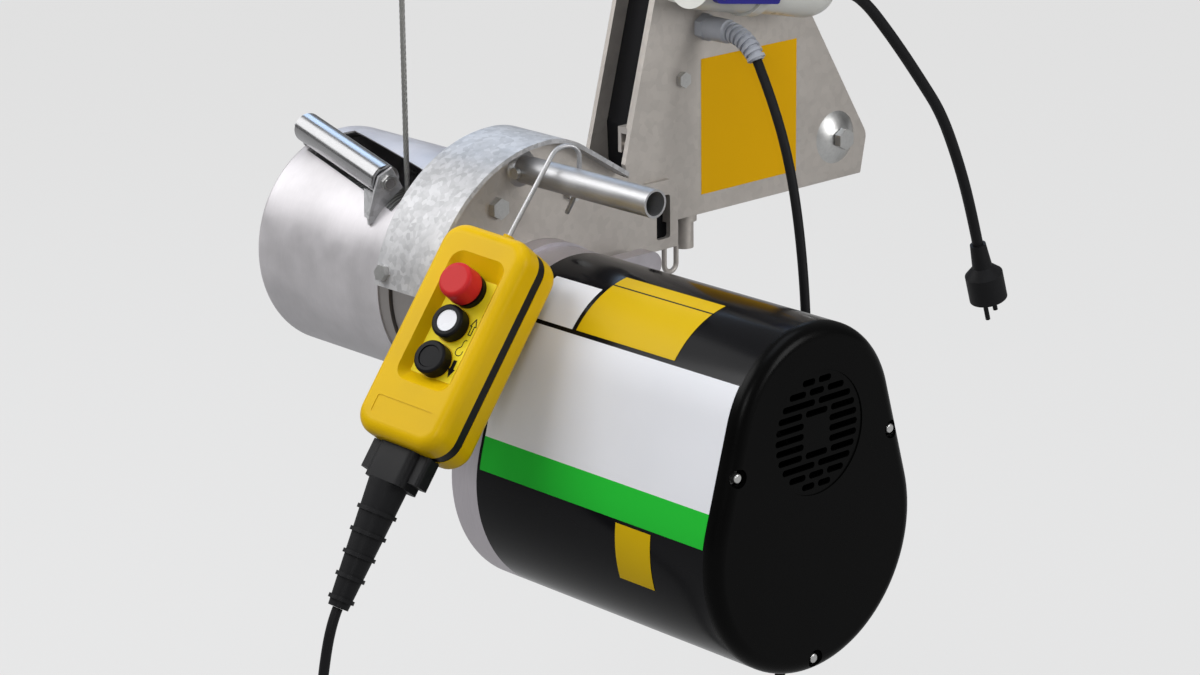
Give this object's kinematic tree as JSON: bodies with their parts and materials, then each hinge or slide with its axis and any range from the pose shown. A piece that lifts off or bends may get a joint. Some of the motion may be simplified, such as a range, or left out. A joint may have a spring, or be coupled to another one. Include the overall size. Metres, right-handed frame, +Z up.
{
  "type": "rope winch",
  "caption": "Electric scaffold rope winch: rope drum with guide roller, geared motor under an egg-section cover, hanging bracket, carrying handle and corded pushbutton pendant.",
  "frame": {"origin": "centre of the hanger bore through the two bracket plates", "axes": "+X along the drum and motor axis towards the motor, +Y from the motor to the bracket, +Z up"},
  "size_m": [0.632, 0.9035, 0.8709],
  "materials": {
    "galvanised": "galvanised sheet, dull",
    "zinc_fasteners": "zinc plated",
    "casing_grey": "satin metallic grey",
    "cast_alloy": "satin",
    "cover_black": "gloss powder coat",
    "machined_steel": "turned",
    "drum_steel": "plain",
    "wire_rope": "stranded, lightly oiled",
    "hook_steel": "zinc plated",
    "motor_iron": "laminated iron",
    "fan_plastic": "matt",
    "capacitor_white": "smooth",
    "pendant_yellow": "fine grain",
    "rubber_black": "matt",
    "stop_red": "smooth",
    "button_white": "smooth",
    "gland_grey": "moulded",
    "inlet_grey": "moulded",
    "lever_blue": "smooth",
    "connector_clear": "translucent"
  },
  "bodies": {
    "frame": {"axle_nuts": "zinc_fasteners", "bearings": "machined_steel", "bracket_bolts": "zinc_fasteners", "bracket_plate_far": "galvanised", "bracket_plate_near": "galvanised", "bracket_web": "galvanised", "button_bezels": "fan_plastic", "cable_gland": "gland_grey", "cable_sleeve": "rubber_black", "cap_screws": "zinc_fasteners", "capacitor": "capacitor_white", "contact_blocks": "fan_plastic", "control_cord": "rubber_black", "dome_washers": "zinc_fasteners", "drum_axle": "machined_steel", "drum_casing": "casing_grey", "end_cap": "cover_black", "frame_bolts": "zinc_fasteners", "frame_plate": "galvanised", "gear_case": "casing_grey", "gearbox_housing": "cast_alloy", "handle_tube": "galvanised", "hoist_rope": "wire_rope", "mains_connector": "connector_clear", "mains_cord": "rubber_black", "mains_plug": "rubber_black", "motor_cover": "cover_black", "motor_shield": "cast_alloy", "pendant_back": "pendant_yellow", "pendant_front": "pendant_yellow", "pendant_gasket": "rubber_black", "pendant_hook": "hook_steel", "power_inlet": "inlet_grey", "rear_bell": "cast_alloy", "rim_flange": "galvanised", "roller_axle": "zinc_fasteners", "roller_brackets": "galvanised", "rope_eye": "wire_rope", "snap_hook": "hook_steel", "stator": "motor_iron", "stay_rod": "galvanised", "switch_box": "fan_plastic"},
    "rotor": {"motor_shaft": "machined_steel", "rotor": "motor_iron", "brake_disc": "machined_steel", "fan": "fan_plastic"},
    "layshaft": {"layshaft": "machined_steel", "layshaft_gear": "machined_steel"},
    "output": {"final_pinion": "machined_steel", "output_gear": "machined_steel"},
    "drum": {"rope_drum": "drum_steel", "rope_winding": "wire_rope", "ring_gear": "machined_steel"},
    "roller": {"guide_roller": "machined_steel"},
    "stop_button": {"estop_head": "stop_red"},
    "up_button": {"up_button": "button_white"},
    "down_button": {"down_button": "fan_plastic"},
    "inlet_lever": {"inlet_lever": "lever_blue"},
    "hook_gate": {"hook_gate": "hook_steel"}
  },
  "joints": [
    {"name": "rotor_spin", "type": "hinge", "parent": "frame", "child": "rotor", "pos_m": [0.05, -0.255, -0.33775], "axis": [1, 0, 0], "continuous": true},
    {"name": "layshaft_spin", "type": "hinge", "parent": "frame", "child": "layshaft", "pos_m": [0.05, -0.255, -0.39975], "axis": [1, 0, 0], "continuous": true},
    {"name": "output_spin", "type": "hinge", "parent": "frame", "child": "output", "pos_m": [0.05, -0.255, -0.33775], "axis": [1, 0, 0], "continuous": true},
    {"name": "drum_spin", "type": "hinge", "parent": "frame", "child": "drum", "pos_m": [0.05, -0.255, -0.289], "axis": [1, 0, 0], "continuous": true},
    {"name": "roller_spin", "type": "hinge", "parent": "frame", "child": "roller", "pos_m": [-0.235, -0.29782, -0.17861], "axis": [0.9738, -0.1976, -0.1125], "continuous": true},
    {"name": "stop_press", "type": "slide", "parent": "frame", "child": "stop_button", "axis": [-0.1932, 0.7749, -0.6018], "range_m": [0, 0.004], "stiffness_N_per_m": 600},
    {"name": "up_press", "type": "slide", "parent": "frame", "child": "up_button", "axis": [-0.1932, 0.7749, -0.6018], "range_m": [0, 0.0035], "stiffness_N_per_m": 400},
    {"name": "down_press", "type": "slide", "parent": "frame", "child": "down_button", "axis": [-0.1932, 0.7749, -0.6018], "range_m": [0, 0.0035], "stiffness_N_per_m": 400},
    {"name": "lever_swing", "type": "hinge", "parent": "frame", "child": "inlet_lever", "pos_m": [0.0968, -0.092, -0.035], "axis": [1, 0, 0], "range_deg": [0, 60]},
    {"name": "gate_swing", "type": "hinge", "parent": "frame", "child": "hook_gate", "pos_m": [-0.062, -0.3098, 0.0422], "axis": [0, -1, 0], "range_deg": [0, 30], "stiffness_Nm_per_rad": 0.03}
  ],
  "couplings": [
    {"joint": "layshaft_spin", "follows": "rotor_spin", "ratio": -0.24},
    {"joint": "output_spin", "follows": "rotor_spin", "ratio": 0.07},
    {"joint": "drum_spin", "follows": "rotor_spin", "ratio": 0.016471}
  ]
}
